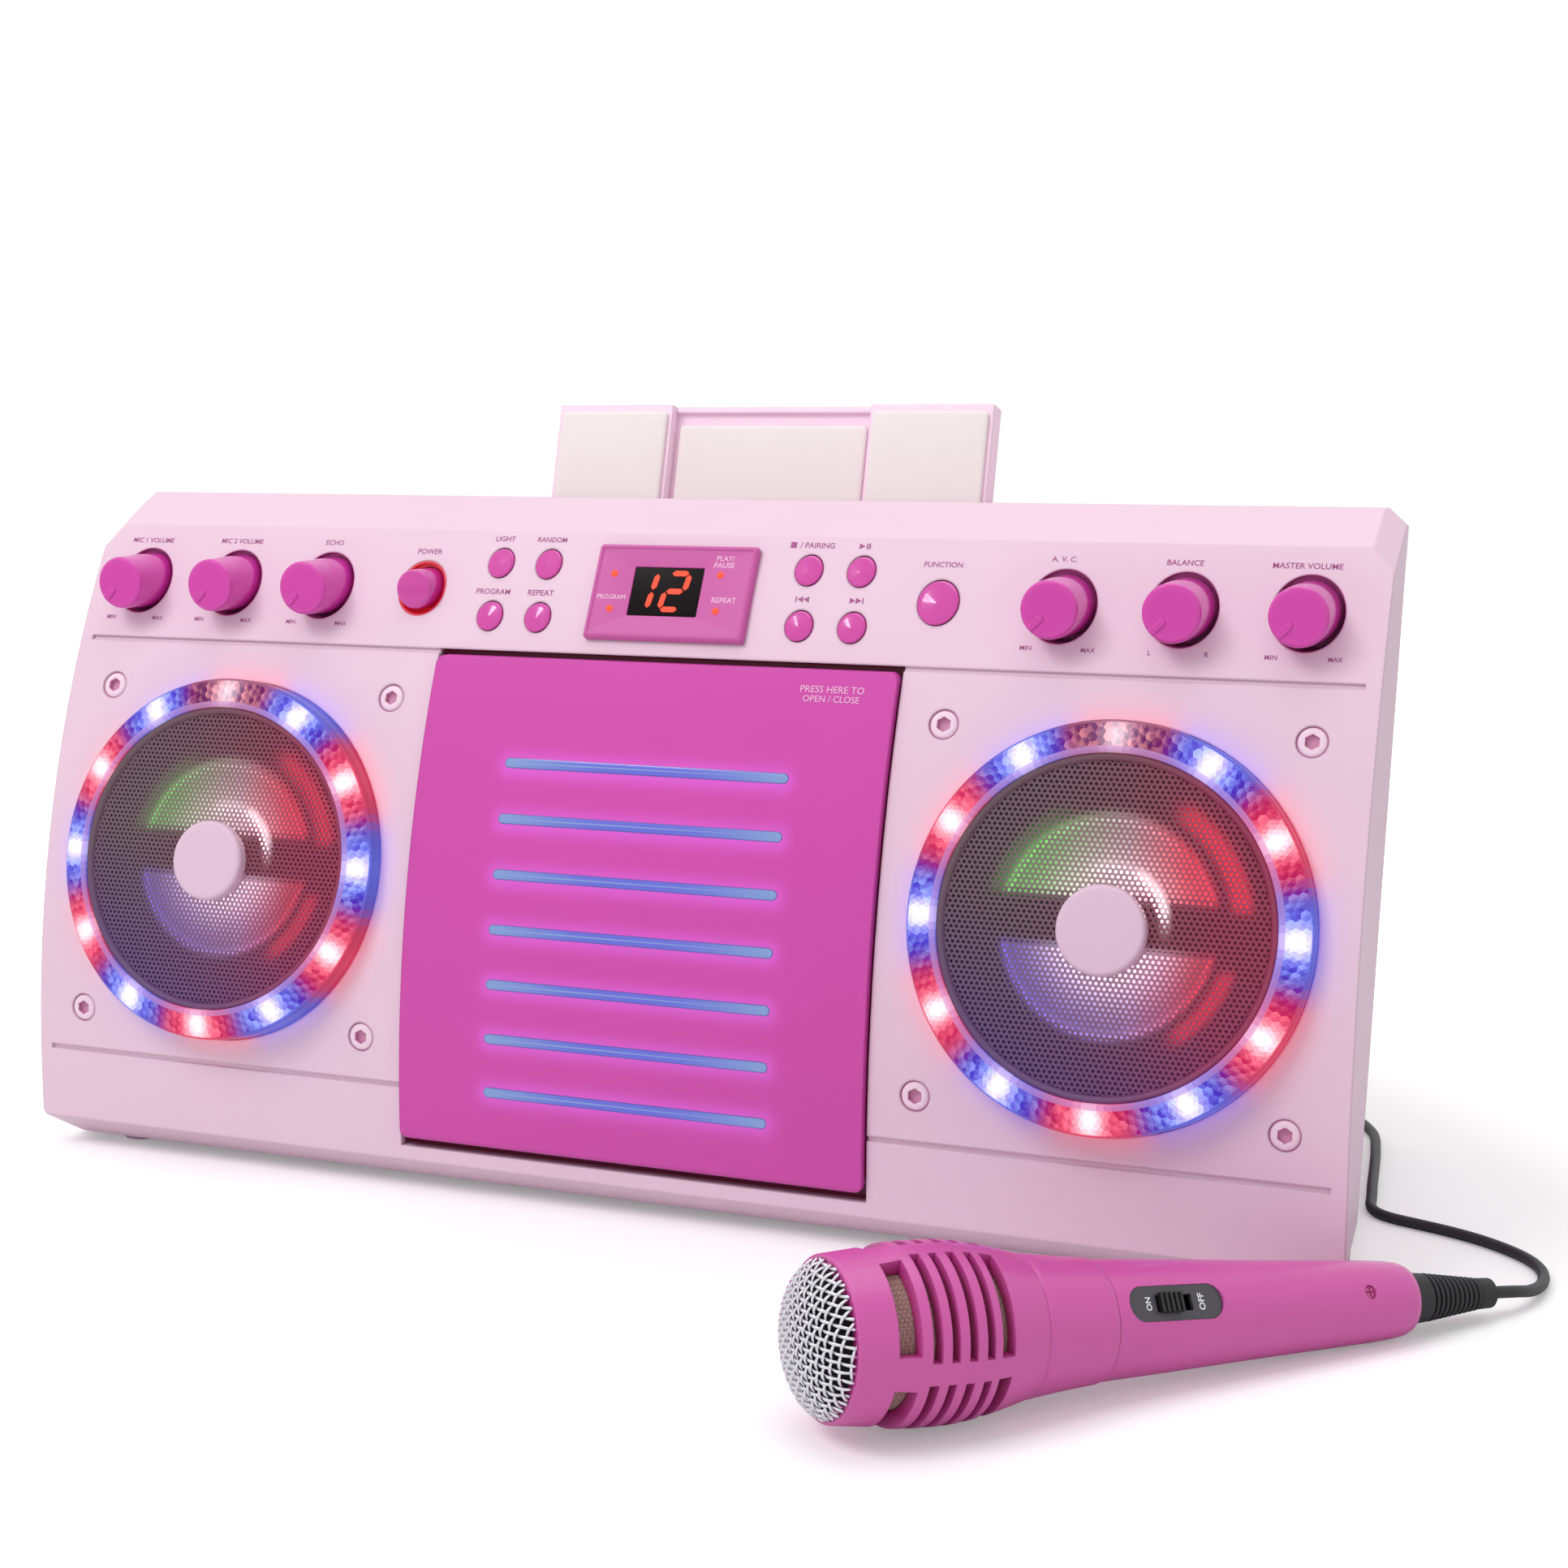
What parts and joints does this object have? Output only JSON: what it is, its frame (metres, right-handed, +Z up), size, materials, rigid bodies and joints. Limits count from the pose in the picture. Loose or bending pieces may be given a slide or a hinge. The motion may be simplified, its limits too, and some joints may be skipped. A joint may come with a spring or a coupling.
{
  "type": "karaoke machine",
  "caption": "Karaoke machine with a front disc compartment, lit loudspeakers, control knobs, a folding tablet cradle and a wired microphone.",
  "frame": {"origin": "on the standing surface, under the centre of the box round console and microphone", "axes": "+Z up; the console's face looks along -Y; +X to the right as seen from the front"},
  "size_m": [0.5148, 0.4483, 0.2628],
  "materials": {
    "body_pink": "fine satin grain",
    "door_magenta": "fine satin grain",
    "light_bar": "clear, lit",
    "light_ring_clear": "clear, faceted, lit",
    "lamp_board": "satin",
    "grille_metal": "perforated, satin",
    "cap_pink": "satin",
    "speaker_dark": "matte",
    "knob_magenta": "gloss",
    "power_glow": "clear, lit",
    "window_dark": "gloss",
    "lamp_red": "clear, lit",
    "cradle_pink": "satin",
    "pad_cream": "matte",
    "foot_rubber": "matte",
    "steel": "satin",
    "dark_plastic": "satin",
    "tray_grey": "satin",
    "circuit_green": "gloss",
    "mic_pink": "gloss",
    "mic_wire": "woven wire",
    "mic_cloth": "fine mesh",
    "black_rubber": "satin"
  },
  "bodies": {
    "console": {"front_panel": "body_pink", "rear_cabinet": "body_pink", "light_ring_left": "light_ring_clear", "light_ring_right": "light_ring_clear", "grille_left": "grille_metal", "grille_right": "grille_metal", "speaker_cap_left": "cap_pink", "speaker_cap_right": "cap_pink", "lamp_boards": "lamp_board", "speaker_frame_left": "speaker_dark", "speaker_frame_right": "speaker_dark", "speaker_cones": "speaker_dark", "hex_screws": "body_pink", "hinge_pins": "steel", "disc_tray": "tray_grey", "spindle_motor": "steel", "sled_rails": "steel", "circuit_boards": "circuit_green", "rotary_controls": "dark_plastic", "power_ring": "power_glow", "display_plate": "door_magenta", "display_window": "window_dark", "indicator_lamps": "lamp_red", "feet": "foot_rubber", "rear_jacks": "dark_plastic", "cabinet_screws": "steel"},
    "door": {"disc_door": "door_magenta", "door_light_bars": "light_bar"},
    "cradle_frame": {"cradle": "cradle_pink", "cradle_pads": "pad_cream"},
    "turntable_rotor": {"turntable": "dark_plastic"},
    "sled": {"laser_sled": "dark_plastic"},
    "microphone": {"mic_grille": "mic_wire", "mic_cage": "mic_pink", "mic_screen": "mic_cloth", "mic_capsule": "dark_plastic", "mic_band": "mic_pink", "mic_handle": "mic_pink", "mic_switch_plate": "dark_plastic", "mic_strain_relief": "black_rubber", "mic_cord": "black_rubber", "mic_cord_coil": "black_rubber", "mic_plug": "black_rubber"},
    "mic_slider": {"mic_switch": "dark_plastic"},
    "mic_1_control": {"mic_1_knob": "knob_magenta"},
    "mic_2_control": {"mic_2_knob": "knob_magenta"},
    "echo_control": {"echo_knob": "knob_magenta"},
    "level_control": {"level_knob": "knob_magenta"},
    "balance_control": {"balance_knob": "knob_magenta"},
    "master_control": {"master_knob": "knob_magenta"},
    "power_key": {"power_button": "knob_magenta"},
    "light_key": {"light_button": "knob_magenta"},
    "random_key": {"random_button": "knob_magenta"},
    "program_key": {"program_button": "knob_magenta"},
    "repeat_key": {"repeat_button": "knob_magenta"},
    "stop_key": {"stop_button": "knob_magenta"},
    "play_key": {"play_button": "knob_magenta"},
    "back_key": {"back_button": "knob_magenta"},
    "forward_key": {"forward_button": "knob_magenta"},
    "function_key": {"function_button": "knob_magenta"}
  },
  "joints": [
    {"name": "door_hinge", "type": "hinge", "parent": "console", "child": "door", "pos_m": [-0.0208, -0.0141, 0.0224], "axis": [1, 0, 0], "range_deg": [0, 42]},
    {"name": "cradle_hinge", "type": "hinge", "parent": "console", "child": "cradle_frame", "pos_m": [-0.0208, 0.0998, 0.2225], "axis": [1, 0, 0], "range_deg": [-72, 0]},
    {"name": "turntable_spin", "type": "hinge", "parent": "console", "child": "turntable_rotor", "pos_m": [-0.0208, 0.00731, 0.09738], "axis": [0, -0.9813, 0.1925], "continuous": true},
    {"name": "sled_slide", "type": "slide", "parent": "console", "child": "sled", "axis": [0, -0.1925, -0.9813], "range_m": [0, 0.021]},
    {"name": "mic_lift", "type": "slide", "parent": "console", "child": "microphone", "axis": [0, 0, 1], "range_m": [0, 0.05]},
    {"name": "mic_switch_slide", "type": "slide", "parent": "microphone", "child": "mic_slider", "axis": [0.6881, 0.7201, -0.0889], "range_m": [0, 0.0035]},
    {"name": "mic_1_turn", "type": "hinge", "parent": "console", "child": "mic_1_control", "pos_m": [-0.2302, 0.02326, 0.2005], "axis": [0, 1, 0], "range_deg": [0, 270]},
    {"name": "mic_2_turn", "type": "hinge", "parent": "console", "child": "mic_2_control", "pos_m": [-0.1924, 0.02326, 0.2005], "axis": [0, 1, 0], "range_deg": [0, 270]},
    {"name": "echo_turn", "type": "hinge", "parent": "console", "child": "echo_control", "pos_m": [-0.1546, 0.02326, 0.2005], "axis": [0, 1, 0], "range_deg": [0, 270]},
    {"name": "level_turn", "type": "hinge", "parent": "console", "child": "level_control", "pos_m": [0.1106, 0.02326, 0.2005], "axis": [0, 1, 0], "range_deg": [0, 270]},
    {"name": "balance_turn", "type": "hinge", "parent": "console", "child": "balance_control", "pos_m": [0.1484, 0.02326, 0.2005], "axis": [0, 1, 0], "range_deg": [0, 270]},
    {"name": "master_turn", "type": "hinge", "parent": "console", "child": "master_control", "pos_m": [0.1862, 0.02326, 0.2005], "axis": [0, 1, 0], "range_deg": [0, 270]},
    {"name": "power_press", "type": "slide", "parent": "console", "child": "power_key", "axis": [0, 1, 0], "range_m": [0, 0.0012], "stiffness_N_per_m": 800},
    {"name": "light_press", "type": "slide", "parent": "console", "child": "light_key", "axis": [0, 1, 0], "range_m": [0, 0.0012], "stiffness_N_per_m": 800},
    {"name": "random_press", "type": "slide", "parent": "console", "child": "random_key", "axis": [0, 1, 0], "range_m": [0, 0.0012], "stiffness_N_per_m": 800},
    {"name": "program_press", "type": "slide", "parent": "console", "child": "program_key", "axis": [0, 1, 0], "range_m": [0, 0.0012], "stiffness_N_per_m": 800},
    {"name": "repeat_press", "type": "slide", "parent": "console", "child": "repeat_key", "axis": [0, 1, 0], "range_m": [0, 0.0012], "stiffness_N_per_m": 800},
    {"name": "stop_press", "type": "slide", "parent": "console", "child": "stop_key", "axis": [0, 1, 0], "range_m": [0, 0.0012], "stiffness_N_per_m": 800},
    {"name": "play_press", "type": "slide", "parent": "console", "child": "play_key", "axis": [0, 1, 0], "range_m": [0, 0.0012], "stiffness_N_per_m": 800},
    {"name": "back_press", "type": "slide", "parent": "console", "child": "back_key", "axis": [0, 1, 0], "range_m": [0, 0.0012], "stiffness_N_per_m": 800},
    {"name": "forward_press", "type": "slide", "parent": "console", "child": "forward_key", "axis": [0, 1, 0], "range_m": [0, 0.0012], "stiffness_N_per_m": 800},
    {"name": "function_press", "type": "slide", "parent": "console", "child": "function_key", "axis": [0, 1, 0], "range_m": [0, 0.0012], "stiffness_N_per_m": 800}
  ]
}
